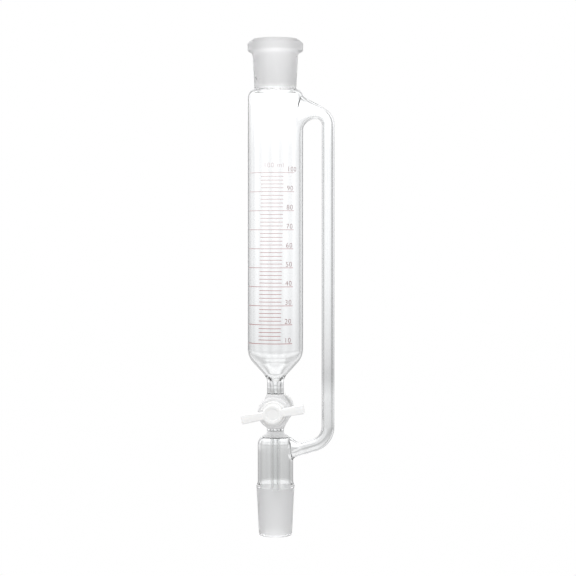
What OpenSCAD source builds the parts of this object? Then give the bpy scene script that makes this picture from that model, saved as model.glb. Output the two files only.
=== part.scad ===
// Pressure-equalising dropping funnel, 100 ml, with 24/29 ground joints and a PTFE stopcock.
// The origin is on the long axis, at the large end of the ground cone (its gauge plane).
// +Z runs up the funnel, +X points to the side arm and -Y to the stopcock handle.
// All sizes are in millimetres and all angles in degrees.

/* [Ground joints] */
// Diameter at the large end of each ground zone
joint_d = 24; // [23.5:0.1:24.5]
// Length of each ground zone
joint_len = 29; // [27:1:32]
// Wall of the cone
cone_wall = 1.9; // [1.6:0.1:2.2]
// Rounded glass below the cone's ground zone
cone_lip = 1.6; // [1.2:0.1:2.4]
// Diameter of the socket's rim bead
bead_d = 35.2; // [34:0.2:36.4]
// Plain glass above the socket's ground zone
rim_h = 1; // [0.9:0.1:2]

/* [Reservoir] */
// Outside diameter of the reservoir
reservoir_d = 35.2; // [34.8:0.2:36]
// Wall of the reservoir
reservoir_wall = 1.25; // [1.1:0.05:1.8]
// Length of the straight cylinder
cylinder_len = 159.5; // [150:0.5:180]
// Slope of the reservoir's floor, from the long axis
floor_angle = 42; // [38:1:48]
// Radius where the cylinder turns into the floor
heel_r = 13; // [11:0.5:14]
// Radius where the floor turns into the stem
throat_r = 8.7; // [7:0.1:9.5]
// Radius of the shoulder
shoulder_r = 5.2; // [4.9:0.1:5.6]

/* [Stopcock] */
// Height of the stopcock's axis above the gauge plane
stopcock_z = 48.6; // [47.6:0.2:52]
// Length of the glass barrel
barrel_len = 28; // [26:1:30]
// Outside diameter of the barrel at its middle
barrel_d = 18.4; // [18:0.2:19]
// Bore diameter at the barrel's middle
barrel_bore = 12.5; // [12:0.1:13]
// Taper of the plug, one part in this many
plug_taper = 5; // [5:1:8]
// Gap between the plug and the barrel
plug_gap = 0.05; // [0.02:0.01:0.1]
// Diameter of the hole across the plug
plug_hole = 2; // [1.5:0.1:3.6]
// Outside diameter of the stem above the barrel
upper_stem_d = 10.6; // [10:0.1:11]
// Outside diameter of the stem below the barrel
lower_stem_d = 10.8; // [10:0.1:11]
// Bore of both stems
stem_bore = 3.8; // [3.6:0.1:4.4]

/* [Key] */
// Length of the T-handle, tip to tip
handle_len = 40; // [36:0.5:44]
// Height of the handle's bar
handle_h = 5.9; // [5:0.1:6.5]
// How far the handle is turned up from level, at rest
handle_tilt = 10; // [0:1:45]
// Thread diameter on the plug's tail
tail_d = 8; // [7.6:0.1:8.4]
// Outside diameter of the tension nut
nut_d = 20; // [18:0.5:21]
// Length of the tension nut
nut_h = 8; // [7:0.5:10]

/* [Vapour jacket] */
// Outside diameter of the jacket
jacket_d = 22.6; // [22.2:0.1:23]
// Wall of the jacket
jacket_wall = 1.5; // [1.3:0.1:1.8]
// Radius of the jacket's dome
dome_r = 6; // [5.5:0.1:6.5]
// Outside diameter of the drip tube
drip_d = 6.2; // [5.8:0.1:6.8]
// Depth of the drip tip below the gauge plane
drip_depth = 8; // [4:1:20]

/* [Side arm] */
// Distance from the long axis to the riser's axis
arm_x = 33.5; // [33:0.1:36]
// Outside diameter of the side arm
arm_d = 8.2; // [8:0.1:8.6]
// Wall of the side arm
arm_wall = 1; // [0.9:0.1:1.2]
// Fall of the upper branch, from level
upper_fall = 33.2; // [30:0.1:36]
// Fall of the lower branch, from level
lower_fall = 17; // [12:0.1:20]
// Centreline radius of the upper bend
upper_bend = 8; // [7:0.5:9]
// Centreline radius of the lower bend
lower_bend = 12; // [10:0.5:13]

/* [Scale] */
// Thickness of a printed line
line_w = 0.4; // [0.3:0.05:0.6]
// Thickness of the enamel
enamel = 0.06; // [0.05:0.01:0.1]
// Height of the numerals
numeral_h = 3.2; // [2.8:0.1:4]
// How far the print leans round the cylinder over its height
print_lean = 6.5; // [0:0.5:8]

/* [Hidden] */
$fn = 96;

// Colours
clear_glass = [0.80, 0.88, 0.88, 0.45];
ground_glass = [0.86, 0.87, 0.88, 0.8];
white_ptfe = [0.96, 0.96, 0.95];
red_enamel = [0.55, 0.20, 0.20];
black_rubber = [0.12, 0.12, 0.12];

// Ground joints narrow by one part in ten across their diameter
joint_r = joint_d / 2;
joint_drop = joint_len / 10 / 2;
small_r = joint_r - joint_drop;
collar_r = joint_r + 0.2;
collar_z = 0.8;
collar_h = 1.4;
collar_edge = 0.2;
cone_weld_z = 4;
tip_z = -joint_len - cone_lip;

// The cone's rounded tip, as steps from its small radius and its lowest height
tip_outside = [[-1.2, 0], [-0.5, 0.3], [-0.1, 0.9]];
tip_mouth = [0.3, 0.5];

// Reservoir: every inside curve shares its centre with the outside curve
reservoir_r = reservoir_d / 2;
inside_r = reservoir_r - reservoir_wall;
stem_r = upper_stem_d / 2;
bore_r = stem_bore / 2;
reservoir_z = stopcock_z + 17.7;
throat_h = throat_r * sin(floor_angle);
throat_w = throat_r * (1 - cos(floor_angle));
heel_c = reservoir_r - heel_r;
heel_h = heel_r * sin(floor_angle);
heel_x = heel_c + heel_r * cos(floor_angle);
floor_h = (heel_x - stem_r - throat_w) / tan(floor_angle);
cylinder_z = reservoir_z + throat_h + floor_h + heel_h;
shoulder_z = cylinder_z + cylinder_len;
shoulder_end = 80;
neck_r = 13.3;
neck_h = 0.7;
neck_z = shoulder_z + shoulder_r + neck_h;
neck_in_edge = 0.3;
neck_in_h = 1;

// The inside floor runs beside the outside floor and ends in its own throat
throat_in_r = 4;
heel_in_r = heel_r - reservoir_wall;
heel_in_x = heel_c + heel_in_r * cos(floor_angle);
heel_in_z = cylinder_z - heel_in_r * sin(floor_angle);
throat_in_x = bore_r + throat_in_r * (1 - cos(floor_angle));
throat_in_z = heel_in_z - (heel_in_x - throat_in_x) / tan(floor_angle)
    - throat_in_r * sin(floor_angle);

// Socket
socket_z = neck_z + 0.6;
socket_top_z = socket_z + joint_len;
rim_z = socket_top_z + rim_h;
bead_r = bead_d / 2;
bead_foot_r = 14.4;
bead_foot = 8.2;
bead_low = 6.2;
bead_high = 1.6;
bead_edge = 0.4;
rim_out_r = 14.2;
rim_edge = 0.1;
rim_flare = 0.9;
rim_flare_h = 0.8;

// Scale: one millilitre is this tall on the inside area
ml_h = 1000 / (PI * inside_r * inside_r);
first_ml = 10;
last_ml = 100;
ml_step = 10;
tick_ml = 2;
first_z = cylinder_z + 4.2;
major_from = -67;
major_to = 41;
minor_from = -32;
minor_to = 15.5;
numeral_from = 23;
numeral_w = 1.9;
numeral_pitch = 2.7;
numeral_lift = 0.7;
stroke_gap = 0.05;

// Stopcock, along its own axis: the wide end is at -half_barrel
half_barrel = barrel_len / 2;
barrel_r = barrel_d / 2;
barrel_rim_r = 10.2;
barrel_rim_edge = 0.8;
barrel_rim_h = 3;
barrel_rim_foot = 5;
barrel_tail_r = 8.6;
barrel_tail_edge = 0.7;
barrel_tail_h = 3;
barrel_tail_foot = 6;
tail_r = tail_d / 2;
tail_flat = tail_r - 0.7;
tail_edge = 0.8;
plug_short = 1;
flange_over = 0.15;
flange_y = -half_barrel - 0.4;
flange_h = 2.4;
flange_edge = 0.5;
hub_r = 6.3;
hub_h = 5.8;
hub_edge = 0.5;
bar_front = 0.6;
bar_pad = 4;
waist_half = 9;
waist_cut = 0.4;
spigot_r = 3;
spigot_h = 4;
handle_back = 1.4;
washer_gap = 0.05;
washer_h = 1.6;
washer_r = 7.8;
slide_fit = 0.05;
ring_cord_r = 1.2;
ring_flat = 1;
ring_gap = 0.3;
washer_y = half_barrel + washer_gap;
ring_y = washer_y + washer_h + ring_flat;
nut_y = ring_y + ring_flat + ring_gap;
tail_y = nut_y + nut_h + 2;
nut_edge = 0.6;
nut_ribs = 24;
rib_depth = 0.5;
rib_w = 1;

// Stem roots: steps from each stem's radius, and from a height this far from the axis
root_offset = 5;
upper_root = [[2.1, 0], [1.6, 2.6], [0.8, 4.2], [0.2, 5.8], [0, 7.4]];
lower_root = [[0.3, -6], [1, -4.4], [1.7, -2.8], [2.1, 0]];

// Jacket
jacket_r = jacket_d / 2;
jacket_in_r = jacket_r - jacket_wall;
seal_z = stopcock_z - 13.1;
dome_z = seal_z - 8;
dome_end = 72;
drip_r = drip_d / 2;
drip_bore_r = 1.8;
drip_edge = 0.5;
drip_edge_h = 1.5;
drip_root = 2.6;
drip_throat = 1;

// Side arm
arm_r = arm_d / 2;
arm_bore_r = arm_r - arm_wall;
upper_reach = upper_bend * tan((90 - upper_fall) / 2);
lower_reach = lower_bend * tan((90 - lower_fall) / 2);
bend_top = round(10 * (shoulder_z - 17.8)) / 10;
bend_low = seal_z + 3.2;
upper_corner_z = bend_top + upper_reach;
lower_corner_z = bend_low - lower_reach;
upper_seam_x = 22.6;
lower_seam_x = 17.5;
upper_seam = (arm_x - upper_seam_x) / cos(upper_fall);
lower_seam = (arm_x - lower_seam_x) / cos(lower_fall);
upper_stub = 12.4;
lower_stub = 9.8;
upper_root_r = 4.8;
lower_root_r = 5.6;

// Every cut runs this far past what it cuts
over = 1;

// Points along an arc about (cx, cy), from angle a to angle b
function arc(cx, cy, r, a, b, n = 10) =
    [for (i = [0:n]) let (t = a + (b - a) * i / n) [cx + r * cos(t), cy + r * sin(t)]];

// A list of steps, put at a radius and a height
function steps_at(steps, r, z) = [for (p = steps) [r + p[0], z + p[1]]];

// Radius of the barrel's bore at a place along its axis
function bore_at(y) = barrel_bore / 2 - y / plug_taper / 2;

// The same points in the other order
function back(points) = [for (i = [len(points) - 1:-1:0]) points[i]];

// Outlines as radius and height, all running upwards
function reservoir_outside() = concat(
    arc(stem_r + throat_r, reservoir_z, throat_r, 180, 180 - floor_angle),
    arc(heel_c, cylinder_z, heel_r, -floor_angle, 0),
    arc(reservoir_r - shoulder_r, shoulder_z, shoulder_r, 0, shoulder_end),
    [[neck_r, neck_z]]);

function reservoir_inside() = concat(
    [[bore_r, reservoir_z]],
    arc(bore_r + throat_in_r, throat_in_z, throat_in_r, 180, 180 - floor_angle),
    arc(heel_c, cylinder_z, heel_in_r, -floor_angle, 0),
    arc(reservoir_r - shoulder_r, shoulder_z, shoulder_r - reservoir_wall, 0, shoulder_end),
    [[small_r + neck_in_edge, neck_z - neck_in_h], [small_r, neck_z]]);

function jacket_outside() = concat(
    [[jacket_r, cone_weld_z]],
    arc(jacket_r - dome_r, dome_z, dome_r, 0, dome_end),
    [[lower_stem_d / 2, seal_z]]);

function jacket_inside() = concat(
    [[jacket_in_r, cone_weld_z]],
    arc(jacket_r - dome_r, dome_z, dome_r - jacket_wall, 0, dome_end),
    [[drip_r, seal_z - drip_root], [drip_r, seal_z]]);

// A wall between two outlines
module lathe_wall(outside, inside) {
    rotate_extrude() polygon(concat(outside, back(inside)));
}

// Everything inside an outline
module lathe_solid(outside) {
    top = outside[len(outside) - 1].y;
    rotate_extrude() polygon(concat(outside, [[0, top], [0, outside[0].y]]));
}

// Turns something built along +Z so that it runs along the stopcock's axis, +Y
module on_stopcock_axis() {
    translate([0, 0, stopcock_z]) rotate([-90, 0, 0]) children();
}

// The same, turned with the key, whose handle lies along the child's X axis
module on_key() {
    translate([0, 0, stopcock_z]) rotate([0, -handle_tilt, 0]) rotate([-90, 0, 0]) children();
}

// The barrel's outside, as a solid along +Z
module barrel_body() {
    lathe_solid([[barrel_rim_r - barrel_rim_edge, -half_barrel],
        [barrel_rim_r, -half_barrel + barrel_rim_edge],
        [barrel_rim_r, -half_barrel + barrel_rim_h], [barrel_r, -half_barrel + barrel_rim_foot],
        [barrel_r, half_barrel - barrel_tail_foot], [barrel_tail_r, half_barrel - barrel_tail_h],
        [barrel_tail_r, half_barrel - barrel_tail_edge],
        [barrel_tail_r - barrel_tail_edge, half_barrel]]);
}

// Puts something built along +Z on the line from a corner on the riser's axis to the funnel
module on_branch(corner_z, rise) {
    translate([arm_x, 0, corner_z]) rotate([0, rise - 90, 0]) children();
}

// A branch's outside, from its bend past the weld seam and into the funnel
module branch_body(reach, seam, stub, root_r) {
    lathe_solid([[arm_r, reach], [arm_r, seam], [root_r, seam + stub]]);
}

// The side arm's bore along a branch
module branch_bore(length) {
    cylinder(h = length, r = arm_bore_r);
}

// An arc of tube that starts on the +X side of its centre and climbs
module tube_bend(radius, angle) {
    rotate([90, 0, 0]) rotate_extrude(angle = angle) translate([radius, 0]) difference() {
        circle(arm_r);
        circle(arm_bore_r);
    }
}

// A patch of enamel on the reservoir: azimuth from -Y towards +X, height and size
module enamel_patch(azimuth, z, sweep, h) {
    translate([0, 0, z]) rotate([0, 0, azimuth - 90])
        rotate_extrude(angle = sweep) translate([reservoir_r, 0]) square([enamel, h]);
}

// Height and lean of the print at a volume
function ml_z(ml) = first_z + (ml - first_ml) * ml_h;
function ml_lean(ml) = print_lean * (ml - first_ml) / (last_ml - first_ml);

// Degrees round the reservoir for a length on its surface
function round_deg(length) = length / reservoir_r * 180 / PI;

// A printed line at a volume
module scale_line(ml, from, to) {
    enamel_patch(from + ml_lean(ml), ml_z(ml) - line_w / 2, to - from, line_w);
}

// Strokes of each digit, lettered a to g clockwise from the top with g in the middle
digit_strokes = ["abcdef", "bc", "abged", "abgcd", "fgbc", "afgcd", "afgecd", "abc", "abcdefg",
    "abcdfg"];

// One stroke of a numeral, with its near corner and its size on the surface
module stroke(azimuth, z, x, y, w, h) {
    enamel_patch(azimuth + round_deg(x), z + y, round_deg(w), h);
}

// One digit, drawn as strokes that stand clear of each other
module digit(value, azimuth, z) {
    right = numeral_w - line_w;
    top = numeral_h - line_w;
    middle = top / 2;
    low = line_w + stroke_gap;
    high = middle + line_w + stroke_gap;
    rise = middle - stroke_gap - low;
    for (s = digit_strokes[value]) {
        if (s == "a") stroke(azimuth, z, 0, top, numeral_w, line_w);
        if (s == "b") stroke(azimuth, z, right, high, line_w, rise);
        if (s == "c") stroke(azimuth, z, right, low, line_w, rise);
        if (s == "d") stroke(azimuth, z, 0, 0, numeral_w, line_w);
        if (s == "e") stroke(azimuth, z, 0, low, line_w, rise);
        if (s == "f") stroke(azimuth, z, 0, high, line_w, rise);
        if (s == "g") stroke(azimuth, z, 0, middle, numeral_w, line_w);
    }
}

// ---- Fused glass ----

module top_socket() {
    outside = [[neck_r, neck_z], [bead_foot_r, socket_top_z - bead_foot],
        [bead_r - bead_edge, socket_top_z - bead_low],
        [bead_r, socket_top_z - bead_low + bead_edge], [bead_r, socket_top_z - bead_high - bead_edge],
        [bead_r - bead_edge, socket_top_z - bead_high], [rim_out_r + bead_edge, rim_z - rim_edge],
        [rim_out_r, rim_z]];
    inside = [[small_r, neck_z], [small_r, socket_z], [joint_r, socket_top_z],
        [joint_r + rim_edge, rim_z - rim_flare_h], [joint_r + rim_flare, rim_z]];
    color(ground_glass) lathe_wall(outside, inside);
}

module reservoir() {
    color(clear_glass) difference() {
        lathe_wall(reservoir_outside(), reservoir_inside());
        on_branch(upper_corner_z, upper_fall) branch_bore(upper_seam + upper_stub);
    }
}

module side_arm_upper_branch() {
    color(clear_glass) difference() {
        on_branch(upper_corner_z, upper_fall)
            branch_body(upper_reach, upper_seam, upper_stub, upper_root_r);
        lathe_solid(reservoir_outside());
        on_branch(upper_corner_z, upper_fall) branch_bore(upper_seam + upper_stub);
    }
}

module side_arm_upper_bend() {
    color(clear_glass) translate([arm_x - upper_bend, 0, bend_top])
        tube_bend(upper_bend, 90 - upper_fall);
}

module side_arm_riser() {
    color(clear_glass) translate([arm_x, 0, bend_low]) difference() {
        cylinder(h = bend_top - bend_low, r = arm_r);
        cylinder(h = bend_top - bend_low, r = arm_bore_r);
    }
}

module side_arm_lower_bend() {
    color(clear_glass) translate([arm_x - lower_bend, 0, bend_low]) mirror([0, 0, 1])
        tube_bend(lower_bend, 90 - lower_fall);
}

module side_arm_lower_branch() {
    color(clear_glass) difference() {
        on_branch(lower_corner_z, -lower_fall)
            branch_body(lower_reach, lower_seam, lower_stub, lower_root_r);
        lathe_solid(jacket_outside());
        on_branch(lower_corner_z, -lower_fall) branch_bore(lower_seam + lower_stub);
    }
}

module upper_stem() {
    color(clear_glass) difference() {
        lathe_solid(concat(steps_at(upper_root, stem_r, stopcock_z + root_offset),
            [[stem_r, reservoir_z]]));
        on_stopcock_axis() barrel_body();
        translate([0, 0, stopcock_z]) cylinder(h = reservoir_z - stopcock_z, r = bore_r);
    }
}

module lower_stem() {
    lower_stem_r = lower_stem_d / 2;
    color(clear_glass) difference() {
        lathe_solid(concat([[lower_stem_r, seal_z]],
            steps_at(lower_root, lower_stem_r, stopcock_z - root_offset)));
        on_stopcock_axis() barrel_body();
        translate([0, 0, seal_z]) cylinder(h = stopcock_z - seal_z, r = bore_r);
    }
}

module stopcock_barrel() {
    bore_over = half_barrel + over;
    color(clear_glass) difference() {
        on_stopcock_axis() barrel_body();
        on_stopcock_axis() translate([0, 0, -bore_over])
            cylinder(h = 2 * bore_over, r1 = bore_at(-bore_over), r2 = bore_at(bore_over));
        translate([0, 0, stopcock_z - barrel_r - over])
            cylinder(h = barrel_d + 2 * over, r = bore_r);
    }
}

module drip_tube() {
    color(clear_glass) lathe_wall(
        [[drip_r - drip_edge, -drip_depth], [drip_r, drip_edge_h - drip_depth],
            [drip_r, seal_z]],
        [[drip_bore_r, -drip_depth], [drip_bore_r, seal_z - drip_throat], [bore_r, seal_z]]);
}

module vapour_jacket() {
    color(clear_glass) difference() {
        lathe_wall(jacket_outside(), jacket_inside());
        on_branch(lower_corner_z, -lower_fall) branch_bore(lower_seam + lower_stub);
    }
}

module cone_joint() {
    outside = concat(steps_at(tip_outside, small_r, tip_z),
        [[small_r, -joint_len], [joint_r, 0], [collar_r, collar_z],
        [collar_r - collar_edge, collar_z + collar_h], [jacket_r, cone_weld_z]]);
    inside = [[small_r - cone_wall + tip_mouth[0], tip_z],
        [small_r - cone_wall, tip_z + tip_mouth[1]],
        [joint_r - cone_wall, 0], [jacket_in_r, cone_weld_z]];
    color(ground_glass) lathe_wall(outside, inside);
}

// ---- Enamel print ----

module scale_major_lines() {
    color(red_enamel)
        for (ml = [first_ml:ml_step:last_ml]) scale_line(ml, major_from, major_to);
}

module scale_minor_lines() {
    color(red_enamel)
        for (ml = [first_ml:ml_step:last_ml - ml_step], tick = [tick_ml:tick_ml:ml_step - tick_ml])
            scale_line(ml + tick, minor_from, minor_to);
}

module scale_numerals() {
    color(red_enamel) for (ml = [first_ml:ml_step:last_ml]) {
        digits = ml < 100 ? [floor(ml / 10), 0] : [1, 0, 0];
        for (i = [0:len(digits) - 1])
            digit(digits[i], numeral_from + ml_lean(ml) + round_deg(i * numeral_pitch),
                ml_z(ml) + numeral_lift);
    }
}

// ---- Key ----

module key_plug() {
    flange_r = bore_at(-half_barrel) + flange_over;
    wide_r = bore_at(-half_barrel) - plug_gap;
    plug_end = half_barrel - plug_short;
    narrow_r = bore_at(plug_end) - plug_gap;
    color(white_ptfe) difference() {
        on_key() lathe_solid([[spigot_r, flange_y - flange_h - spigot_h],
            [spigot_r, flange_y - flange_h], [flange_r - flange_edge, flange_y - flange_h],
            [flange_r, flange_y - flange_h + flange_edge], [flange_r, flange_y],
            [wide_r, flange_y], [wide_r, -half_barrel], [narrow_r, plug_end],
            [tail_r, plug_end], [tail_r, tail_y - tail_edge], [tail_r - tail_edge, tail_y]]);
        on_key() translate([-tail_r, tail_flat, half_barrel - plug_short / 2])
            cube([tail_d, tail_r, tail_y - half_barrel + over]);
        on_key() rotate([90, 0, 0]) translate([0, 0, -barrel_r])
            cylinder(h = barrel_d, r = plug_hole / 2);
    }
}

module key_handle() {
    back_y = flange_y - flange_h;
    half_len = handle_len / 2;
    half_h = handle_h / 2;
    waist_h = half_h - waist_cut;
    pad_x = half_len - bar_pad;
    bar_y = back_y - hub_h + bar_front;
    bar_t = hub_h - handle_back - bar_front;
    color(white_ptfe) difference() {
        union() {
            on_key() lathe_solid([[hub_r - hub_edge, back_y - hub_h],
                [hub_r, back_y - hub_h + hub_edge], [hub_r, back_y]]);
            on_key() translate([0, 0, bar_y]) linear_extrude(bar_t)
                polygon([[-half_len, -half_h], [-pad_x, -half_h], [-waist_half, -waist_h],
                    [waist_half, -waist_h], [pad_x, -half_h], [half_len, -half_h],
                    [half_len, half_h], [pad_x, half_h], [waist_half, waist_h],
                    [-waist_half, waist_h], [-pad_x, half_h], [-half_len, half_h]]);
        }
        on_key() translate([0, 0, back_y - spigot_h]) cylinder(h = spigot_h + over, r = spigot_r);
    }
}

module slip_washer() {
    color(white_ptfe) on_key() translate([0, 0, washer_y]) difference() {
        cylinder(h = washer_h, r = washer_r);
        translate([0, 0, -over]) difference() {
            cylinder(h = washer_h + 2 * over, r = tail_r + slide_fit);
            translate([-tail_r - over, tail_flat + slide_fit, -over])
                cube([tail_d + 2 * over, tail_r, washer_h + 4 * over]);
        }
    }
}

module o_ring() {
    ring_r = tail_r + ring_cord_r + slide_fit;
    color(black_rubber) on_key() translate([0, 0, ring_y]) rotate_extrude()
        translate([ring_r, 0]) intersection() {
            circle(ring_cord_r, $fn = 48);
            square([3 * ring_cord_r, 2 * ring_flat], center = true);
        }
}

module tension_nut() {
    nut_r = nut_d / 2;
    color(white_ptfe) on_stopcock_axis() translate([0, 0, nut_y]) difference() {
        lathe_solid([[nut_r - nut_edge, 0], [nut_r, nut_edge], [nut_r, nut_h - nut_edge],
            [nut_r - nut_edge, nut_h]]);
        translate([0, 0, -over]) cylinder(h = nut_h + 2 * over, r = tail_r + slide_fit);
        for (i = [0:nut_ribs - 1])
            rotate([0, 0, i * 360 / nut_ribs]) translate([nut_r - rib_depth, -rib_w / 2, -over])
                cube([rib_depth + over, rib_w, nut_h + 2 * over]);
    }
}

top_socket();
reservoir();
side_arm_upper_branch();
side_arm_upper_bend();
side_arm_riser();
side_arm_lower_bend();
side_arm_lower_branch();
upper_stem();
stopcock_barrel();
lower_stem();
drip_tube();
vapour_jacket();
cone_joint();
scale_major_lines();
scale_minor_lines();
scale_numerals();
key_plug();
key_handle();
slip_washer();
o_ring();
tension_nut();
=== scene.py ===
import math
import bpy
import bmesh
from mathutils import Matrix, Vector


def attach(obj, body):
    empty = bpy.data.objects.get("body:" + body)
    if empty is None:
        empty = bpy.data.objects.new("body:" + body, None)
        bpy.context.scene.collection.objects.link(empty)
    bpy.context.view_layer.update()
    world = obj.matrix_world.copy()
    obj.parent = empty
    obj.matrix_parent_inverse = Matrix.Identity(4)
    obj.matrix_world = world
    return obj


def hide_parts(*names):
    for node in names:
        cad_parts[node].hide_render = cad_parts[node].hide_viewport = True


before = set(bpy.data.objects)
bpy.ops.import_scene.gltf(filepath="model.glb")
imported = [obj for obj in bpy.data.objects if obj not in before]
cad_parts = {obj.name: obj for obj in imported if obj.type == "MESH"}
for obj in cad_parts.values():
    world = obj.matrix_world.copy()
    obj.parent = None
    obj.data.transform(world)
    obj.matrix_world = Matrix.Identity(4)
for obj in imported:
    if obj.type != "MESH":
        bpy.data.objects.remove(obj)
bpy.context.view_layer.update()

# A pressure-equalising dropping funnel. The glass stands along Z, the key's handle faces -Y, and the
# side arm is at +X.

MM = 0.001
scene = bpy.context.scene

# ---------------------------------------------------------------- sizes, in millimetres, as in the CAD
# Ground cone below and ground socket above, 24/29
JOINT_R, SMALL_R, JOINT_LEN = 12.0, 10.55, 29.0
CONE_WALL = 1.9
TIP_Z, CONE_SEAM = -30.6, 4.0
NECK_R, NECK_SEAM = 13.3, 255.6
NECK_BORE = SMALL_R + 0.065
SOCKET_TOP, RIM_Z = 283.29, 284.285

# Reservoir
RES_WALL = 1.25
RES_R = 17.6
RES_IN = RES_R - RES_WALL
SHOULDER_R, SHOULDER_Z = 5.2, 247.79
FLOOR_SLOPE = math.radians(42)
THROAT_Z, THROAT_ROUND = 66.3, 8.7
FLOOR_ROUND = 13.0

# Stems and stopcock
STEM_R, LOW_STEM_R, BORE_R = 5.3, 5.4, 1.9
STEM_SEAM = 63.6
COCK_Z = 48.6
BARREL_HALF, BARREL_R = 14.0, 9.2
TAPER_R, TAPER_RATE = 6.25, 10  # the key's bore: radius in the middle, and length that takes 1 off it
SEAL_Z = 35.5
SEAL_TOP = SEAL_Z + 0.6

# Jacket with the drip tube inside it
JACKET_R, JACKET_IN = 11.3, 9.8
DOME_R, DOME_IN, DOME_Z = 6.0, 4.5, 27.5
DRIP_R, DRIP_BORE = 3.1, 1.8
DRIP_SEAM, DRIP_TIP = 31.0, -8.0

# Side arm, from the top: a branch that falls from the reservoir, a bend, the straight riser, a bend, and a
# branch that falls to the jacket
ARM_X, ARM_R, ARM_IN = 33.5, 4.1, 3.1
UP_FALL, LOW_FALL = math.radians(33.2), math.radians(17.0)
UP_BEND, LOW_BEND = 8.0, 12.0
UP_REACH = UP_BEND * math.tan((math.pi / 2 - UP_FALL) / 2)
LOW_REACH = LOW_BEND * math.tan((math.pi / 2 - LOW_FALL) / 2)
BEND_TOP, BEND_LOW = 230.0, 38.7
UP_CORNER, LOW_CORNER = BEND_TOP + UP_REACH, BEND_LOW - LOW_REACH
UP_SEAM_X, LOW_SEAM_X = 29.4, 17.5
UP_SEAM_Z = UP_CORNER + (ARM_X - UP_SEAM_X) * math.tan(UP_FALL)
LOW_SEAM_Z = LOW_CORNER - (ARM_X - LOW_SEAM_X) * math.tan(LOW_FALL)

# Handle of the key
TILT = math.radians(10)
HANDLE_HALF, HANDLE_TALL = 20.0, 2.95
BOSS_R, HUB_R = 6.3, 3.0

# Printed scale
TEN_ML_Z = 92.49
ML_TALL = 1000 / (math.pi * RES_IN * RES_IN)


# ---------------------------------------------------------------- shader helpers
def node(tree, kind, inputs=None, **attrs):
    """A new node with the given input values and attributes."""
    n = tree.nodes.new(kind)
    for k, v in attrs.items():
        setattr(n, k, v)
    for k, v in (inputs or {}).items():
        n.inputs[k].default_value = v
    return n


def new_material(name, kind="ShaderNodeBsdfPrincipled", inputs=None):
    """A material with one shader joined to its output, as (material, tree, shader)."""
    mat = bpy.data.materials.new(name)
    mat.use_nodes = True
    tree = mat.node_tree
    tree.nodes.clear()
    out = node(tree, "ShaderNodeOutputMaterial")
    shader = node(tree, kind, inputs)
    tree.links.new(shader.outputs[0], out.inputs["Surface"])
    return mat, tree, shader


def coords(tree):
    return node(tree, "ShaderNodeTexCoord").outputs["Object"]


def stretched(tree, scale):
    """Object coordinates scaled by axis, which draws a noise out into streaks or rings."""
    mapping = node(tree, "ShaderNodeMapping", {"Scale": scale})
    tree.links.new(coords(tree), mapping.inputs["Vector"])
    return mapping.outputs["Vector"]


def remap(tree, src, from_range, to_range=(0.0, 1.0)):
    """Carries one range over to another and holds it at both ends."""
    n = node(tree, "ShaderNodeMapRange", {"From Min": from_range[0], "From Max": from_range[1],
                                          "To Min": to_range[0], "To Max": to_range[1]})
    tree.links.new(src, n.inputs["Value"])
    return n.outputs[0]


def height_share(tree, vec, low, high):
    """0 to 1 as the Z of a vector goes from low to high."""
    sep = node(tree, "ShaderNodeSeparateXYZ")
    tree.links.new(vec, sep.inputs[0])
    return remap(tree, sep.outputs["Z"], (low, high))


def ramp(tree, src, stops):
    """A colour ramp through (position, colour) stops."""
    r = node(tree, "ShaderNodeValToRGB")
    tree.links.new(src, r.inputs["Fac"])
    els = r.color_ramp.elements
    while len(els) < len(stops):
        els.new(0.5)
    for e, (pos, col) in zip(els, stops):
        e.position = pos
        e.color = (*col, 1)
    return r.outputs["Color"]


def noise(tree, vec, scale, detail=2.0, rough=0.5):
    n = node(tree, "ShaderNodeTexNoise", {"Scale": scale, "Detail": detail, "Roughness": rough})
    tree.links.new(vec, n.inputs["Vector"])
    return n.outputs["Fac"]


def bump(tree, height, strength, distance):
    b = node(tree, "ShaderNodeBump", {"Strength": strength, "Distance": distance})
    tree.links.new(height, b.inputs["Height"])
    return b.outputs["Normal"]


def maths(tree, op, a, b=None):
    """A Math node whose inputs are numbers or sockets."""
    n = node(tree, "ShaderNodeMath", operation=op)
    for i, v in enumerate((a, b)):
        if v is None:
            continue
        if isinstance(v, (int, float)):
            n.inputs[i].default_value = v
        else:
            tree.links.new(v, n.inputs[i])
    return n.outputs[0]


def multiply(tree, a, b):
    """One colour times another."""
    n = node(tree, "ShaderNodeMixRGB", {"Fac": 1.0}, blend_type="MULTIPLY")
    tree.links.new(a, n.inputs["Color1"])
    tree.links.new(b, n.inputs["Color2"])
    return n.outputs[0]


# ---------------------------------------------------------------- materials, with depths in metres
GLASS_IOR = 1.47
GRAIN_DEPTH, STREAK_DEPTH = 0.0001, 0.0004


def clear_glass(name, shade_by_height):
    """Borosilicate: faint drawing streaks along the tube, and a painted shade that follows the height: a
    grey a little darker or lighter at given heights, in place of the shading the light gives.
    """
    mat, tree, p = new_material(name, inputs={
        "Roughness": 0.0, "IOR": GLASS_IOR, "Transmission Weight": 1.0})
    streaks = noise(tree, stretched(tree, (1.0, 1.0, 0.12)), 90.0)
    tree.links.new(bump(tree, streaks, 0.004, STREAK_DEPTH), p.inputs["Normal"])
    patches = ramp(tree, noise(tree, coords(tree), 30.0), [(0.3, (0.988, 0.992, 0.992)), (0.7, (1, 1, 1))])
    # Painted shade: the base colour is made darker or lighter by height, standing in for how the light
    # falls.
    top = 0.25
    painted_shade = ramp(tree, height_share(tree, coords(tree), 0.0, top),
                 [(z / top, (g, g + 0.003, g + 0.003)) for z, g in shade_by_height])
    tree.links.new(multiply(tree, patches, painted_shade), p.inputs["Base Color"])
    return mat


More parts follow.
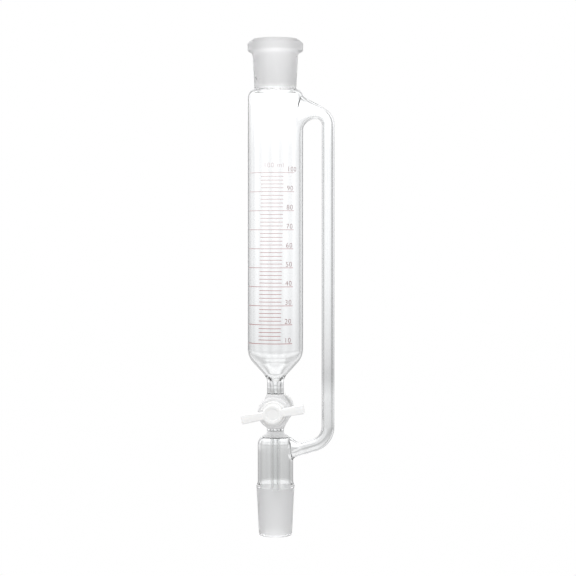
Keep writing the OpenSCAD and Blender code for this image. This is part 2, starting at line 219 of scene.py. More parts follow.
def ground_glass(name, rough_range, pale, grain, through=1.0):
    """Ground or acid-dulled glass: fine grit with faint turned rings."""
    mat, tree, p = new_material(name, inputs={"IOR": GLASS_IOR, "Transmission Weight": through})
    vec = coords(tree)
    grit = noise(tree, vec, 2600.0, 4.0, 0.65)
    rings = noise(tree, stretched(tree, (0.15, 0.15, 1.0)), 420.0, 3.0)
    both = maths(tree, "ADD", grit, maths(tree, "MULTIPLY", rings, 0.6))
    tree.links.new(bump(tree, both, grain, GRAIN_DEPTH), p.inputs["Normal"])
    rough = remap(tree, noise(tree, vec, 160.0, 3.0), (0.25, 0.75), rough_range)
    tree.links.new(rough, p.inputs["Roughness"])
    tree.links.new(ramp(tree, grit, [(0.35, (pale - 0.025,) * 3), (0.65, (pale,) * 3)]),
                   p.inputs["Base Color"])
    return mat


def weld_face():
    """The hidden face where two glass pieces are fused: light goes straight on."""
    return new_material("weld_face", "ShaderNodeBsdfTransparent")[0]


def enamel(name, low, middle, top):
    """Fired red enamel: paler and greyer towards the top of the scale, with a fine speckle."""
    mat, tree, p = new_material(name, inputs={"Roughness": 0.35, "IOR": 1.5})
    vec = coords(tree)
    base = ramp(tree, height_share(tree, vec, 0.085, 0.205), [(0.0, low), (0.5, middle), (1.0, top)])
    speck = ramp(tree, noise(tree, vec, 2200.0, 3.0), [(0.35, (0.82, 0.82, 0.82)), (0.6, (1, 1, 1))])
    tree.links.new(multiply(tree, base, speck), p.inputs["Base Color"])
    return mat


def white_plastic(name, base, rough, subsurface, grain):
    """Waxy white polymer with a fine machined or moulded grain."""
    mat, tree, p = new_material(name, inputs={
        "IOR": 1.38, "Subsurface Weight": subsurface, "Subsurface Scale": 0.002,
        "Subsurface Radius": (1.0, 0.95, 0.9)})
    vec = coords(tree)
    fine = noise(tree, vec, grain, 4.0, 0.6)
    tree.links.new(bump(tree, fine, 0.12, GRAIN_DEPTH), p.inputs["Normal"])
    rubbed = remap(tree, noise(tree, vec, 240.0, 3.0), (0.3, 0.7), (rough - 0.06, rough + 0.08))
    tree.links.new(rubbed, p.inputs["Roughness"])
    dark = tuple(c * 0.96 for c in base)
    tree.links.new(ramp(tree, noise(tree, vec, 120.0), [(0.3, dark), (0.7, base)]), p.inputs["Base Color"])
    return mat


def rubber():
    """Black O-ring rubber with a fine moulded grain."""
    mat, tree, p = new_material("ring_rubber", inputs={"IOR": 1.5})
    fine = noise(tree, coords(tree), 1400.0, 4.0)
    tree.links.new(bump(tree, fine, 0.2, GRAIN_DEPTH), p.inputs["Normal"])
    tree.links.new(ramp(tree, fine, [(0.3, (0.02, 0.02, 0.02)), (0.7, (0.045, 0.045, 0.045))]),
                   p.inputs["Base Color"])
    tree.links.new(remap(tree, fine, (0.0, 1.0), (0.5, 0.7)), p.inputs["Roughness"])
    return mat


# Painted shade by height, as (metres up, grey): lighter round the stopcock, and darker on the lower part of
# the arm.
GLASS = clear_glass("clear_glass", [
    (0.0, 0.99), (0.03, 0.99), (0.034, 0.996), (0.062, 0.996), (0.07, 0.986), (0.25, 0.988)])
ARM_GLASS = clear_glass("arm_glass", [
    (0.02, 0.95), (0.045, 0.922), (0.075, 0.925), (0.095, 0.96), (0.13, 0.982), (0.25, 0.982)])
WELD = weld_face()
GROUND = ground_glass("ground_glass", (0.5, 0.62), 0.99, 0.3, 0.8)
SATIN = ground_glass("satin_glass", (0.26, 0.36), 0.995, 0.08)
DULL = ground_glass("dull_glass", (0.42, 0.52), 0.95, 0.10, 0.2)
ENAMEL = enamel("red_enamel", (0.40, 0.13, 0.13), (0.56, 0.36, 0.36), (0.74, 0.61, 0.61))
FIGURES = enamel("red_figures", (0.26, 0.08, 0.08), (0.28, 0.12, 0.12), (0.34, 0.20, 0.20))
PTFE = white_plastic("white_ptfe", (0.86, 0.86, 0.85), 0.38, 0.25, 900.0)
HANDLE = white_plastic("white_handle", (0.90, 0.90, 0.89), 0.34, 0.2, 700.0)
RUBBER = rubber()

# Every glass piece has these materials, in the slots that follow
GLASS_MATERIALS = (GLASS, WELD, GROUND, SATIN, DULL)
CLEAR, SEAM, FROST, HAZE, PALE = range(5)


# ---------------------------------------------------------------- mesh helpers
RINGS, FEW_RINGS = 128, 96  # segments round a wide and a narrow turned piece
TUBE_SIDES = 64
LARGE_CORNER = 5.0  # millimetres; corners above it turn in finer steps
FINE_STEP, COARSE_STEP = 2.5, 6  # degrees
SHARP, TEXT_SHARP, WELDED_SHARP = 35, 20, 12  # degrees


def rounded(points):
    """A closed outline from (r, z, corner radius, slot of the edge that follows), its corners made arcs."""
    out = []
    n = len(points)
    for i, (x, y, rad, slot) in enumerate(points):
        if rad <= 0:
            out.append((x, y, slot))
            continue
        here = Vector((x, y))
        last = Vector(points[i - 1][:2]) - here
        following = Vector(points[(i + 1) % n][:2]) - here
        angle = last.angle(following)
        back = min(rad / math.tan(angle / 2), last.length * 0.49, following.length * 0.49)
        r = back * math.tan(angle / 2)
        inward = (last.normalized() + following.normalized()).normalized()
        centre = here + inward * (r / math.sin(angle / 2))
        first_spoke = here + last.normalized() * back - centre
        last_spoke = here + following.normalized() * back - centre
        sweep = first_spoke.angle_signed(last_spoke)
        step = FINE_STEP if rad > LARGE_CORNER else COARSE_STEP
        steps = max(2, int(abs(math.degrees(sweep)) / step))
        for k in range(steps + 1):
            spoke = first_spoke.copy()
            spoke.rotate(Matrix.Rotation(-sweep * k / steps, 2))
            p = centre + spoke
            out.append((p.x, p.y, points[i - 1][3] if k < steps / 2 else slot))
    return out


def arc(cx, cy, rad, start, end, slot, steps):
    """Corners along an arc, for use in a rounded() outline."""
    out = []
    for k in range(steps + 1):
        a = math.radians(start + (end - start) * k / steps)
        out.append((cx + rad * math.cos(a), cy + rad * math.sin(a), 0, slot))
    return out


def densify(outline, step):
    """Splits long edges, so that bumps and bakes have even faces."""
    out = []
    n = len(outline)
    for i, (x, y, slot) in enumerate(outline):
        x2, y2, _ = outline[(i + 1) % n]
        parts = max(1, int(math.hypot(x2 - x, y2 - y) / step))
        for k in range(parts):
            t = k / parts
            out.append((x + (x2 - x) * t, y + (y2 - y) * t, slot))
    return out


def band(bm, a, b, slot=CLEAR):
    """Faces between two closed rings of vertices, triangles where one ring is a single point."""
    for k in range(len(a)):
        k2 = (k + 1) % len(a)
        corners = list(dict.fromkeys((a[k], a[k2], b[k2], b[k])))
        if len(corners) > 2:
            bm.faces.new(corners).material_index = slot


def lathe(outline, rings=RINGS):
    """A closed outline of (r, z, slot) turned about Z. A point on the axis becomes a single vertex."""
    bm = bmesh.new()
    rows = []
    for r, z, _ in outline:
        if abs(r) < 1e-6:
            rows.append([bm.verts.new((0, 0, z * MM))] * rings)
            continue
        row = []
        for k in range(rings):
            a = 2 * math.pi * k / rings
            row.append(bm.verts.new((r * math.cos(a) * MM, r * math.sin(a) * MM, z * MM)))
        rows.append(row)
    for i, (_, _, slot) in enumerate(outline):
        band(bm, rows[i], rows[(i + 1) % len(rows)], slot)
    bmesh.ops.recalc_face_normals(bm, faces=bm.faces)
    return bm


def smooth(mesh, sharp):
    """Smooth shading that keeps edges above an angle in degrees sharp."""
    mesh.shade_smooth()
    mesh.set_sharp_from_angle(angle=math.radians(sharp))


def to_object(bm, name, mats, sharp=SHARP):
    """A scene object from a bmesh, smooth apart from its sharp edges."""
    me = bpy.data.meshes.new(name)
    bm.to_mesh(me)
    bm.free()
    for m in mats:
        me.materials.append(m)
    obj = bpy.data.objects.new(name, me)
    scene.collection.objects.link(obj)
    smooth(me, sharp)
    return obj


def glass_object(bm, name):
    return to_object(bm, name, GLASS_MATERIALS)


def combine(base, ops):
    """Applies exact booleans to base in turn and removes the cutters."""
    for kind, other in ops:
        mod = base.modifiers.new(kind, "BOOLEAN")
        mod.operation = kind
        mod.solver = "EXACT"
        mod.object = other
        bpy.context.view_layer.update()
        dg = bpy.context.evaluated_depsgraph_get()
        me = bpy.data.meshes.new_from_object(base.evaluated_get(dg), depsgraph=dg)
        base.modifiers.clear()
        old = base.data
        base.data = me
        bpy.data.meshes.remove(old)
        bpy.data.objects.remove(other)
    bm = bmesh.new()
    bm.from_mesh(base.data)
    bmesh.ops.remove_doubles(bm, verts=bm.verts, dist=1e-6)
    bmesh.ops.dissolve_degenerate(bm, edges=bm.edges, dist=1e-7)
    bm.to_mesh(base.data)
    bm.free()
    smooth(base.data, WELDED_SHARP)
    return base


def on_axis(obj, origin, direction):
    """Moves a piece turned about Z so that it runs from origin along direction."""
    q = Vector((0, 0, 1)).rotation_difference(Vector(direction).normalized())
    obj.data.transform(Matrix.Translation(Vector(origin) * MM) @ q.to_matrix().to_4x4())
    return obj


# ---------------------------------------------------------------- tubes and flared branch roots
def straight(a, b, shares, angle):
    """Path points at the given shares of the way from a to b, each with the path's angle."""
    return [(a[0] + (b[0] - a[0]) * t, a[1] + (b[1] - a[1]) * t, angle) for t in shares]


def bend(centre, rad, first, last, steps):
    """Path points round a bend, from one angle about its centre to another."""
    out = []
    for k in range(steps + 1):
        a = first + (last - first) * k / steps
        out.append((centre[0] + rad * math.cos(a), centre[1] + rad * math.sin(a), a - math.pi / 2))
    return out


def sweep_tube(path, outer, inner):
    """A tube along (x, z, tangent angle) points in the XZ plane, with a ring face at each end."""
    bm = bmesh.new()
    rows = []
    for x, z, t in path:
        side = Vector((-math.sin(t), 0, math.cos(t)))
        row = []
        for rad in (outer, inner):
            ring = []
            for k in range(TUBE_SIDES):
                a = 2 * math.pi * k / TUBE_SIDES
                out = side * rad * math.cos(a) + Vector((0, 1, 0)) * rad * math.sin(a)
                ring.append(bm.verts.new((Vector((x, 0, z)) + out) * MM))
            row.append(ring)
        rows.append(row)
    for row, following in zip(rows, rows[1:]):
        for a, b in zip(row, following):
            band(bm, a, b)
    for skin, bore in (rows[0], rows[-1]):
        band(bm, skin, bore, SEAM)
    bmesh.ops.recalc_face_normals(bm, faces=bm.faces)
    return bm


# A root's curves run straight on for a share of their length where they leave the tube and where they land
# on the wall: these pairs of shares are for the curves at its sides and at its top.
SIDE_PULL, TOP_PULL = (0.30, 0.28), (0.37, 0.34)
ROOT_CURVES, ROOT_STEPS = 96, 22
WIDEST = 0.45  # where a root is widest, as a share of the way up from its foot
LANDING = 0.05  # how much a curve at the side leans into the wall as it lands
WELD_DEPTH = 0.05  # how far a root's edge lies inside the wall's skin
BURIED = 3.5  # how far a root goes on into the wall, along -X

# Each root: how steeply it rises towards the wall, its half width round the wall, both in radians, and the
# pair of shares for the curve at its foot.
UPPER_ROOT = {"rise": UP_FALL, "spread": 0.78, "under": (0.22, 0.48)}
LOWER_ROOT = {"rise": -LOW_FALL, "spread": 0.72, "under": (0.23, 0.34)}


def dome(side, corner, z):
    """The radius at height z of a cylinder that rounds into the jacket's flat top."""
    over = max(0.0, z - DOME_Z)
    return side - corner + math.sqrt(max(0.0, corner ** 2 - over ** 2))


def bezier(p0, p1, p2, p3, t):
    """The point at t on a cubic curve."""
    return p0 * (1 - t) ** 3 + p1 * (3 * t * (1 - t) ** 2) + p2 * (3 * t * t * (1 - t)) + p3 * t ** 3


def root_curve(a, start, tube, wall, ends, lean, rise, spread, under):
    """The points of a root's curve that leaves the tube at angle a round its end, measured from its top."""
    c, s = math.cos(a), math.sin(a)
    above, below = max(0, c), max(0, -c)
    along = Vector((-math.cos(rise), 0, math.sin(rise)))
    up = Vector((math.sin(rise), 0, math.cos(rise)))
    leave = start + up * (tube * c) + Vector((0, tube * s, 0))

    top, low = ends
    middle = top * WIDEST + low * (1 - WIDEST)
    height = middle + (top - middle if c > 0 else middle - low) * c
    turn = spread * s
    radial = Vector((math.cos(turn), math.sin(turn), 0))
    land = radial * (wall(height) - WELD_DEPTH) + Vector((0, 0, height))
    outward = Vector((-math.sin(turn), math.cos(turn), 0)) * s + Vector((0, 0, c))
    away = (outward.normalized() - radial * (LANDING + lean * above ** 2)).normalized()

    reach = (land - leave).length
    leave_pull = SIDE_PULL[0] + (TOP_PULL[0] - SIDE_PULL[0]) * above + (under[0] - SIDE_PULL[0]) * below
    land_pull = (SIDE_PULL[1] + (TOP_PULL[1] - SIDE_PULL[1]) * above ** 2
                 + (under[1] - SIDE_PULL[1]) * below ** 2)
    p1 = leave + along * reach * leave_pull
    p2 = land - away * reach * land_pull
    points = [bezier(leave, p1, p2, land, i / ROOT_STEPS) for i in range(ROOT_STEPS + 1)]
    return points + [Vector((-BURIED, 0, 0)) + land]


def trumpet(name, start, tube, wall, ends, lean, rise, spread, under, back=0.0):
    """The flared root of a branch: curves from the tube's round end, each landing on the wall.

    wall gives the wall's radius at a height, and ends are the heights of the root's top and foot on it.
    lean tips the upper curves into the wall as they land. back starts a bore that far outside the seam.
    """
    outside = Vector((math.cos(rise), 0, -math.sin(rise))) * back
    bm = bmesh.new()
    cols = []
    for k in range(ROOT_CURVES):
        a = 2 * math.pi * k / ROOT_CURVES
        points = root_curve(a, start, tube, wall, ends, lean, rise, spread, under)
        if back:
            points.insert(0, points[0] + outside)
        cols.append([bm.verts.new(p * MM) for p in points])
    for k in range(ROOT_CURVES):
        a, b = cols[k], cols[(k + 1) % ROOT_CURVES]
        for i in range(len(a) - 1):
            bm.faces.new((a[i], a[i + 1], b[i + 1], b[i]))
    bm.faces.new([col[0] for col in cols]).material_index = SEAM
    bm.faces.new([col[-1] for col in cols])
    bmesh.ops.recalc_face_normals(bm, faces=bm.faces)
    return glass_object(bm, name)


# ---------------------------------------------------------------- glass
def rod(name, rad, low, high, top=CLEAR, rings=RINGS):
    """A plain round cutter on the axis, with a slot for its top."""
    outline = [(0, low, CLEAR), (rad, low, CLEAR), (rad, high, top), (0, high, top)]
    return glass_object(lathe(outline, rings), name)


def make_socket():
    """The ground socket: a taper that widens to a rounded bead below the rim."""
    wall_r, bead_r = 14.4, 17.6
    bead_foot, bead_top = 276.9, 281.7
    outline = rounded([
        (NECK_R + 0.05, NECK_SEAM, 0, HAZE),
        (wall_r, bead_foot - 1.7, 2.6, HAZE),
        (bead_r - 0.15, bead_foot, 1.1, HAZE),
        (bead_r, bead_top, 1.5, HAZE),
        (wall_r, RIM_Z, 0.8, HAZE),
        (JOINT_R + 0.9, RIM_Z, 0.5, HAZE),
        (JOINT_R + 0.1, SOCKET_TOP + 0.2, 0.5, FROST),
        (NECK_BORE, NECK_SEAM, 0, SEAM),
    ])
    return glass_object(lathe(densify(outline, 3.0)), "socket_glass")


def make_reservoir():
    """The cylinder with its shoulder, sloping floor and throat, and the root of the upper branch."""
    throat = THROAT_Z + THROAT_ROUND * math.tan(FLOOR_SLOPE / 2)
    floor_top = throat + (RES_R - STEM_R) / math.tan(FLOOR_SLOPE)
    outer = rounded([
        (0, STEM_SEAM, 0, SEAM),
        (STEM_R, STEM_SEAM, 0, CLEAR),
        (STEM_R, throat, THROAT_ROUND, CLEAR),
        (RES_R, floor_top, FLOOR_ROUND, CLEAR),
    ] + arc(RES_R - SHOULDER_R, SHOULDER_Z, SHOULDER_R, 0, 74, CLEAR, 14) + [
        (NECK_R, 253.6, 0.8, HAZE),
        (NECK_R + 0.05, NECK_SEAM, 0, SEAM),
        (0, NECK_SEAM, 0, SEAM),
    ])
    in_shift = (RES_R - RES_IN) / math.sin(FLOOR_SLOPE)
    in_throat = throat + (BORE_R - STEM_R) / math.tan(FLOOR_SLOPE) + in_shift
    in_floor_top = in_throat + (RES_IN - BORE_R) / math.tan(FLOOR_SLOPE)
    below, above = STEM_SEAM - 8, NECK_SEAM + 4
    inner = rounded([
        (0, below, 0, CLEAR),
        (BORE_R, below, 0, CLEAR),
        (BORE_R, in_throat, 9.0, CLEAR),
        (RES_IN, in_floor_top, FLOOR_ROUND - RES_WALL, CLEAR),
    ] + arc(RES_R - SHOULDER_R, SHOULDER_Z, SHOULDER_R - RES_WALL, 0, 80, CLEAR, 14) + [
        (SMALL_R + 0.05, 252.5, 0.8, HAZE),
        (NECK_BORE, above, 0, CLEAR),
        (0, above, 0, CLEAR),
    ])
    body = glass_object(lathe(densify(outer, 6.0)), "reservoir_glass")
    cavity = glass_object(lathe(densify(inner, 6.0)), "cut_cavity")
    start = Vector((UP_SEAM_X, 0, UP_SEAM_Z))
    branch = trumpet("cut_branch", start, ARM_R, lambda z: RES_R, (248.6, 227.2), 1.3, **UPPER_ROOT)
    bore = trumpet("cut_bore", start, ARM_IN, lambda z: RES_IN, (247.9, 227.2), 1.0, back=3.0, **UPPER_ROOT)
    return combine(body, [("UNION", branch), ("DIFFERENCE", cavity), ("DIFFERENCE", bore)])


def make_jacket():
    """The domed jacket, with the root of the lower branch and room inside for the drip tube."""
    centre_r = JACKET_R - DOME_R
    outer = rounded([
        (0, CONE_SEAM, 0, SEAM),
        (JACKET_R, CONE_SEAM, 0, CLEAR),
    ] + arc(centre_r, DOME_Z, DOME_R, 0, 54, CLEAR, 12) + arc(centre_r, DOME_Z, DOME_R, 57, 60, PALE, 1) + [
        (LOW_STEM_R + 0.1, 34.2, 2.4, PALE),
        (LOW_STEM_R, SEAL_TOP, 0, SEAM),
        (0, SEAL_TOP, 0, SEAM),
    ])
    inner = rounded([
        (DRIP_R, CONE_SEAM - 4, 0, CLEAR),
        (JACKET_IN, CONE_SEAM - 4, 0, CLEAR),
    ] + arc(centre_r, DOME_Z, DOME_IN, 0, 72, CLEAR, 12) + [
        (DRIP_R, 32.8, 1.0, CLEAR),
    ])
    bore = rounded([
        (0, CONE_SEAM, 0, CLEAR),
        (DRIP_BORE, CONE_SEAM, 0, CLEAR),
        (DRIP_BORE, 32.5, 2.0, CLEAR),
        (BORE_R, 34.0, 2.0, CLEAR),
        (BORE_R, SEAL_Z + 4, 0, CLEAR),
        (0, SEAL_Z + 4, 0, CLEAR),
    ])
    body = glass_object(lathe(densify(outer, 5.0)), "jacket_glass")
    start = Vector((LOW_SEAM_X, 0, LOW_SEAM_Z))
    branch = trumpet("cut_branch", start, ARM_R, lambda z: dome(JACKET_R, DOME_R, z),
                     (32.2, 17.2), 2.4, **LOWER_ROOT)
    passage = trumpet("cut_passage", start, ARM_IN, lambda z: dome(JACKET_IN, DOME_IN, z),
                      (30.6, 17.2), 2.4, back=3.0, **LOWER_ROOT)
    return combine(body, [
        ("UNION", branch),
        ("DIFFERENCE", glass_object(lathe(densify(inner, 5.0)), "cut_inner")),
        ("DIFFERENCE", rod("cut_stub", DRIP_R + 1.5, CONE_SEAM - 6, DRIP_SEAM, top=SEAM)),
        ("DIFFERENCE", glass_object(lathe(bore, FEW_RINGS), "cut_drip")),
        ("DIFFERENCE", passage)])


def make_drip_tube():
    """The tube inside the jacket, with a thinned tip."""
    outline = rounded([
        (DRIP_BORE, DRIP_SEAM, 0, CLEAR),
        (DRIP_BORE, DRIP_TIP, 0.25, CLEAR),
        (DRIP_R - 0.5, DRIP_TIP, 0.3, CLEAR),
        (DRIP_R, DRIP_TIP + 1.6, 0.6, CLEAR),
        (DRIP_R, DRIP_SEAM, 0, SEAM),
    ])
    return glass_object(lathe(densify(outline, 5.0), FEW_RINGS), "drip_tube_glass")


def make_cone():
    """The ground cone: frosted outside between a clear collar and a clear tip."""
    outline = rounded([
        (JACKET_IN, CONE_SEAM, 0, CLEAR),
        (JOINT_R - CONE_WALL, 0.3, 1.5, CLEAR),
        (SMALL_R - CONE_WALL, TIP_Z + 0.8, 0.6, CLEAR),
        (SMALL_R - 1.5, TIP_Z, 0.5, CLEAR),
        (SMALL_R - 0.35, TIP_Z, 0.9, CLEAR),
        (SMALL_R + 0.02, -JOINT_LEN, 0, FROST),
        (JOINT_R + 0.05, 0.2, 0, CLEAR),
        (JOINT_R + 0.2, 0.9, 0.6, CLEAR),
        (JACKET_R + 0.1, 3.0, 1.5, CLEAR),
        (JACKET_R, CONE_SEAM, 0, SEAM),
    ])
    return glass_object(lathe(densify(outline, 3.0)), "cone_glass")


def make_housing():
    """The stopcock's barrel along Y, with the stems above and below it."""
    half = BARREL_HALF
    barrel = glass_object(lathe(rounded([
        (0, -half, 0, PALE),
        (9.9, -half, 0.9, PALE),
        (10.2, -half + 2.6, 1.4, PALE),
        (BARREL_R, -half + 5.0, 2.0, PALE),
        (BARREL_R, half - 6, 2.0, PALE),
        (8.6, half - 3, 1.0, PALE),
        (8.6, half, 0.9, PALE),
        (0, half, 0, PALE),
    ])), "stopcock_glass")
    on_axis(barrel, (0, 0, COCK_Z), (0, 1, 0))
    stem = glass_object(lathe(rounded([
        (0, SEAL_TOP, 0, SEAM),
        (LOW_STEM_R, SEAL_TOP, 0, CLEAR),
        (LOW_STEM_R + 0.1, 37.6, 2.5, PALE),
        (7.3, 41.5, 2.5, PALE),
        (7.4, 44.0, 0, PALE),
        (7.4, 53.0, 0, PALE),
        (7.2, 55.5, 2.5, PALE),
        (STEM_R + 0.1, 59.4, 3.0, CLEAR),
        (STEM_R, STEM_SEAM, 0, SEAM),
        (0, STEM_SEAM, 0, SEAM),
    ])), "cut_stem")
    end = half + 2
    taper = glass_object(lathe([
        (0, -end, FROST),
        (TAPER_R + end / TAPER_RATE, -end, FROST),
        (TAPER_R - end / TAPER_RATE, end, FROST),
        (0, end, FROST),
    ]), "cut_taper")
    on_axis(taper, (0, 0, COCK_Z), (0, 1, 0))
    bore = rod("cut_bore", BORE_R, SEAL_Z - 3, STEM_SEAM + 3, rings=FEW_RINGS)
    return combine(barrel, [("UNION", stem), ("DIFFERENCE", bore), ("DIFFERENCE", taper)])


def make_side_arm():
    """From the upper root down to the lower one: branch, bend, riser, bend and branch."""
    up_turn, low_turn = math.pi / 2 - UP_FALL, math.pi / 2 - LOW_FALL
    bend_in = (ARM_X - UP_REACH * math.cos(UP_FALL), UP_CORNER + UP_REACH * math.sin(UP_FALL))
    path = straight((UP_SEAM_X, UP_SEAM_Z), bend_in, [k / 4 for k in range(4)], -UP_FALL)
    path += bend((ARM_X - UP_BEND, BEND_TOP), UP_BEND, up_turn, 0, 18)
    path += straight((ARM_X, BEND_TOP), (ARM_X, BEND_LOW), [k / 30 for k in range(1, 30)], -math.pi / 2)
    path += bend((ARM_X - LOW_BEND, BEND_LOW), LOW_BEND, 0, -low_turn, 24)
    last = path[-1]
    path += straight(last, (LOW_SEAM_X, LOW_SEAM_Z), [k / 3 for k in range(1, 4)], last[2])
    arm = glass_object(sweep_tube(path, ARM_R, ARM_IN), "side_arm_glass")
    arm.data.materials[CLEAR] = ARM_GLASS
    return arm


PIECES = [
    (make_socket, ["top_socket"]),
    (make_reservoir, ["reservoir", "side_arm_upper_branch"]),
    (make_side_arm, ["side_arm_upper_bend", "side_arm_riser", "side_arm_lower_bend"]),
    (make_jacket, ["vapour_jacket", "side_arm_lower_branch"]),
    (make_drip_tube, ["drip_tube"]),
    (make_cone, ["cone_joint"]),
    (make_housing, ["stopcock_barrel", "upper_stem", "lower_stem"]),
]
for maker, names in PIECES:
    piece = maker()
    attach(piece, "glass")
    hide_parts(*names)


# ---------------------------------------------------------------- handle
def make_boss():
    """The round middle of the handle: a dished face in front, and a seat for the plug's hub behind."""
    dish, rim, rear, seat = -22.1, -22.6, -16.8, -20.8
    outline = rounded([
        (0, dish, 0, 0),
        (3.6, dish, 0.3, 0),
        (4.0, rim + 0.15, 0.3, 0),
        (5.3, rim, 0.5, 0),
        (BOSS_R, rim + 0.4, 0.7, 0),
        (BOSS_R, rear, 0, 0),
        (HUB_R, rear, 0, 0),
        (HUB_R, seat, 0, 0),
        (0, seat, 0, 0),
    ])
    boss = to_object(lathe(densify(outline, 3.0)), "handle_key", (HANDLE,))
    return on_axis(boss, (0, 0, COCK_Z), (0, 1, 0))


def make_bar():
    """The bar across the boss, waisted beside it, with rounded edges."""
    end, tall = HANDLE_HALF, HANDLE_TALL
    pad, waist, nip = 4, 9, 0.4
    front_y, rear_y = -22.0, -18.2
    lower = [(-end, -tall), (-end + pad, -tall), (-waist, -tall + nip),
             (waist, -tall + nip), (end - pad, -tall), (end, -tall)]
    profile = lower + [(-x, -z) for x, z in lower]
    bm = bmesh.new()
    front = [bm.verts.new((x * MM, front_y * MM, z * MM)) for x, z in profile]
    rear = [bm.verts.new((x * MM, rear_y * MM, z * MM)) for x, z in profile]
    bm.faces.new(front)
    bm.faces.new(rear[::-1])
    band(bm, rear, front)
    bmesh.ops.recalc_face_normals(bm, faces=bm.faces)
    edges = [e for e in bm.edges if e.calc_face_angle(0) > math.radians(30)]
    bmesh.ops.bevel(bm, geom=edges, offset=0.75 * MM, segments=4, profile=0.5, affect="EDGES")
    bar = to_object(bm, "cut_bar", (HANDLE,))
    bar.data.transform(Matrix.Translation((0, 0, COCK_Z * MM)) @ Matrix.Rotation(-TILT, 4, "Y"))
    return bar


handle = combine(make_boss(), [("UNION", make_bar())])
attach(handle, "key")
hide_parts("key_handle")


# ---------------------------------------------------------------- printed figures
CAP_HEIGHT = 0.7  # height of a figure as a share of the font's size
PRINT_HALF = 0.02  # half the thickness of the print
PRINT_GAP = 0.035  # from the glass to the middle of the print
STROKE_OFFSET = -0.06  # makes the strokes thinner than the font's
LETTER_SPACING = 1.12
CAPTION = "100 ml"


def printed_text(text, size, azimuth, z):
    """Text laid round the reservoir as (verts, faces), from an azimuth in degrees from -Y towards +X."""
    curve = bpy.data.curves.new("figures", "FONT")
    curve.body = text
    curve.size = size * MM / CAP_HEIGHT
    curve.extrude = PRINT_HALF * MM
    curve.offset = STROKE_OFFSET * MM
    curve.space_character = LETTER_SPACING
    obj = bpy.data.objects.new("figures", curve)
    scene.collection.objects.link(obj)
    bpy.context.view_layer.update()
    me = bpy.data.meshes.new_from_object(obj.evaluated_get(bpy.context.evaluated_depsgraph_get()))
    verts = []
    for v in me.vertices:
        a = math.radians(azimuth - 90) + v.co.x / (RES_R * MM)
        r = (RES_R + PRINT_GAP) * MM + v.co.z
        verts.append((r * math.cos(a), r * math.sin(a), z * MM + v.co.y))
    faces = [tuple(f.vertices) for f in me.polygons]
    bpy.data.objects.remove(obj)
    bpy.data.meshes.remove(me)
    bpy.data.curves.remove(curve)
    return verts, faces


def make_figures():
    """A figure above every 10 ml line, in a column that leans a little, and the caption over the scale."""
    first_azimuth, lean, lift = 23, 6.5, 0.7
    jobs = []
    for ml in range(10, 101, 10):
        share = (ml - 10) / 90
        jobs.append((str(ml), 3.1, first_azimuth + lean * share, TEN_ML_Z + (ml - 10) * ML_TALL + lift))
    jobs.append((CAPTION, 3.0, -20.0, TEN_ML_Z + 90 * ML_TALL + 3.2))
    bm = bmesh.new()
    for text, size, azimuth, z in jobs:
        verts, faces = printed_text(text, size, azimuth, z)
        made = [bm.verts.new(v) for v in verts]
        for f in faces:
            bm.faces.new([made[i] for i in f]).material_index = 1 if text == CAPTION else 0
    return to_object(bm, "scale_figures", (FIGURES, ENAMEL), TEXT_SHARP)


figures = make_figures()
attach(figures, "glass")
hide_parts("scale_numerals")

# ---------------------------------------------------------------- materials for the CAD nodes that stay
for name, mat in (("scale_major_lines", ENAMEL), ("scale_minor_lines", ENAMEL),
                  ("key_plug", PTFE), ("slip_washer", PTFE),
                  ("o_ring", RUBBER), ("tension_nut", HANDLE)):
    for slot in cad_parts[name].material_slots:
        slot.material = mat


# ---------------------------------------------------------------- studio, in metres
BOX_EVERY, BOX_OFFSET = math.radians(45), math.radians(7)
HIGHEST = 0.25  # the sine of the elevation beyond which the tent is even, up and down
TENT_STRENGTH = 1.08
DIFFUSE_FILL = 0.12  # more light for what isn't clear, such as the white plastics
FLOOR_Z, FLOOR_HALF = -0.25, 6.0


def by_height(tree, share, stops):
    """A grey that follows the sine of the elevation."""
    return ramp(tree, share, [((h + HIGHEST) / (2 * HIGHEST), (g, g, g)) for h, g in stops])


def make_tent(tree):
    """The colour of the light: a ring of soft boxes, whose greyer gaps draw the edges of the glass."""
    way = node(tree, "ShaderNodeTexCoord").outputs["Generated"]
    sep = node(tree, "ShaderNodeSeparateXYZ")
    tree.links.new(way, sep.inputs[0])
    turn = maths(tree, "ARCTAN2", sep.outputs["X"], sep.outputs["Y"])
    turn = maths(tree, "DIVIDE", maths(tree, "ADD", turn, BOX_OFFSET), BOX_EVERY)
    place = maths(tree, "ADD", maths(tree, "SUBTRACT", turn, maths(tree, "ROUND", turn)), 0.5)
    boxes = ramp(tree, place, [(at, (g, g, g * 1.01)) for at, g in (
        (0.0, 0.25), (0.10, 0.44), (0.22, 0.68), (0.33, 0.94), (0.5, 0.99), (0.66, 0.97), (0.75, 0.80),
        (0.84, 0.48), (0.92, 0.31), (1.0, 0.25))])
    share = height_share(tree, way, -HIGHEST, HIGHEST)
    # The low band is the greyer bench side of the tent; below it the pale bench top again.
    fall = by_height(tree, share, [
        (-0.25, 0.92), (-0.20, 0.84), (-0.165, 0.64), (-0.145, 0.55), (-0.125, 0.60), (-0.112, 0.80),
        (-0.096, 0.92), (-0.085, 0.72), (-0.073, 0.80), (-0.055, 0.87), (-0.03, 0.95), (0.0, 1.0),
        (0.05, 1.02), (0.09, 1.28), (0.25, 1.30)])
    # How much of the gaps between the boxes shows.
    depth = by_height(tree, share, [
        (-0.25, 0.7), (-0.17, 0.4), (-0.12, 0.4), (-0.08, 0.85), (-0.04, 1.0), (0.25, 1.0)])
    shade = node(tree, "ShaderNodeMixRGB", {"Color1": (1, 1, 1, 1)})
    tree.links.new(depth, shade.inputs["Fac"])
    tree.links.new(boxes, shade.inputs["Color2"])
    return multiply(tree, shade.outputs[0], fall)


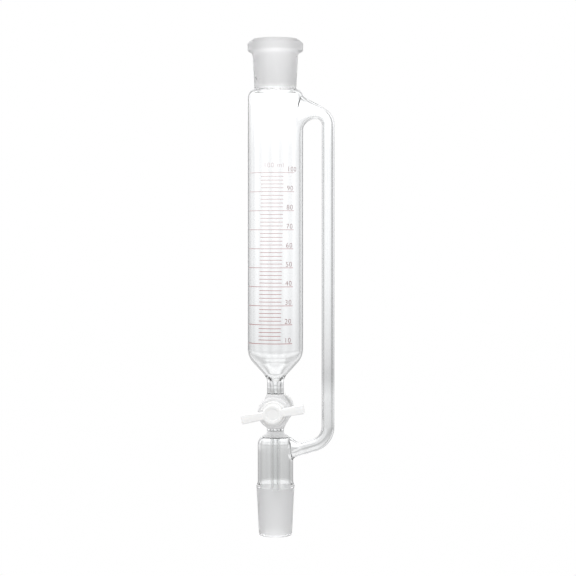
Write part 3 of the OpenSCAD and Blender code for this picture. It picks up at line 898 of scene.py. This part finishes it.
def make_world():
    """The tent lights the object, and the camera sees plain white behind it."""
    world = bpy.data.worlds.new("studio")
    world.use_nodes = True
    tree = world.node_tree
    tree.nodes.clear()
    tent = node(tree, "ShaderNodeBackground")
    tree.links.new(make_tent(tree), tent.inputs["Color"])
    path = node(tree, "ShaderNodeLightPath")
    fill = maths(tree, "MULTIPLY", path.outputs["Is Diffuse Ray"], DIFFUSE_FILL)
    tree.links.new(maths(tree, "ADD", fill, TENT_STRENGTH), tent.inputs["Strength"])
    white = node(tree, "ShaderNodeBackground", {"Color": (1, 1, 1, 1), "Strength": 1.0})
    mix = node(tree, "ShaderNodeMixShader")
    tree.links.new(path.outputs["Is Camera Ray"], mix.inputs[0])
    tree.links.new(tent.outputs[0], mix.inputs[1])
    tree.links.new(white.outputs[0], mix.inputs[2])
    out = node(tree, "ShaderNodeOutputWorld")
    tree.links.new(mix.outputs[0], out.inputs["Surface"])
    return world


def make_floor():
    """A plain white floor that the camera sees and the glass doesn't."""
    mat, tree, glow = new_material("floor_white", "ShaderNodeEmission", {"Strength": 1.0})
    whites = ramp(tree, noise(tree, coords(tree), 3.0), [(0.3, (0.998, 0.998, 0.998)), (0.7, (1, 1, 1))])
    tree.links.new(whites, glow.inputs["Color"])
    bm = bmesh.new()
    bmesh.ops.create_grid(bm, x_segments=24, y_segments=24, size=FLOOR_HALF)
    floor = to_object(bm, "floor", (mat,))
    floor.location.z = FLOOR_Z
    floor.visible_transmission = floor.visible_glossy = floor.visible_diffuse = False
    return floor


def aimed(data, place, target):
    """An object for a light or camera that stands at one place and looks at another."""
    obj = bpy.data.objects.new(data.name, data)
    obj.location = place
    obj.rotation_euler = (Vector(target) - Vector(place)).to_track_quat("-Z", "Y").to_euler()
    scene.collection.objects.link(obj)
    return obj


def make_top_light():
    """One large soft light above the object."""
    light = bpy.data.lights.new("top_soft", "AREA")
    light.shape = "RECTANGLE"
    light.size = light.size_y = 1.6
    light.energy = 9
    return aimed(light, (0, -0.3, 1.3), (0, 0, 0.1))


def make_camera():
    """Level with the middle of the reservoir and 5 degrees to the right of straight ahead."""
    distance, height, azimuth = 1.065, 0.1607, math.radians(5)
    aside, aim_height = 0.008, 0.127
    camera = bpy.data.cameras.new("camera")
    camera.lens, camera.sensor_width = 104.8, 36.0
    camera.clip_start, camera.clip_end = 0.01, 50
    place = Vector((math.sin(azimuth) * distance, -math.cos(azimuth) * distance, height))
    right = Vector((math.cos(azimuth), math.sin(azimuth), 0))
    return aimed(camera, place, right * aside + Vector((0, 0, aim_height)))


scene.view_settings.view_transform = "Standard"
scene.world = make_world()
floor = make_floor()
make_top_light()
scene.camera = make_camera()
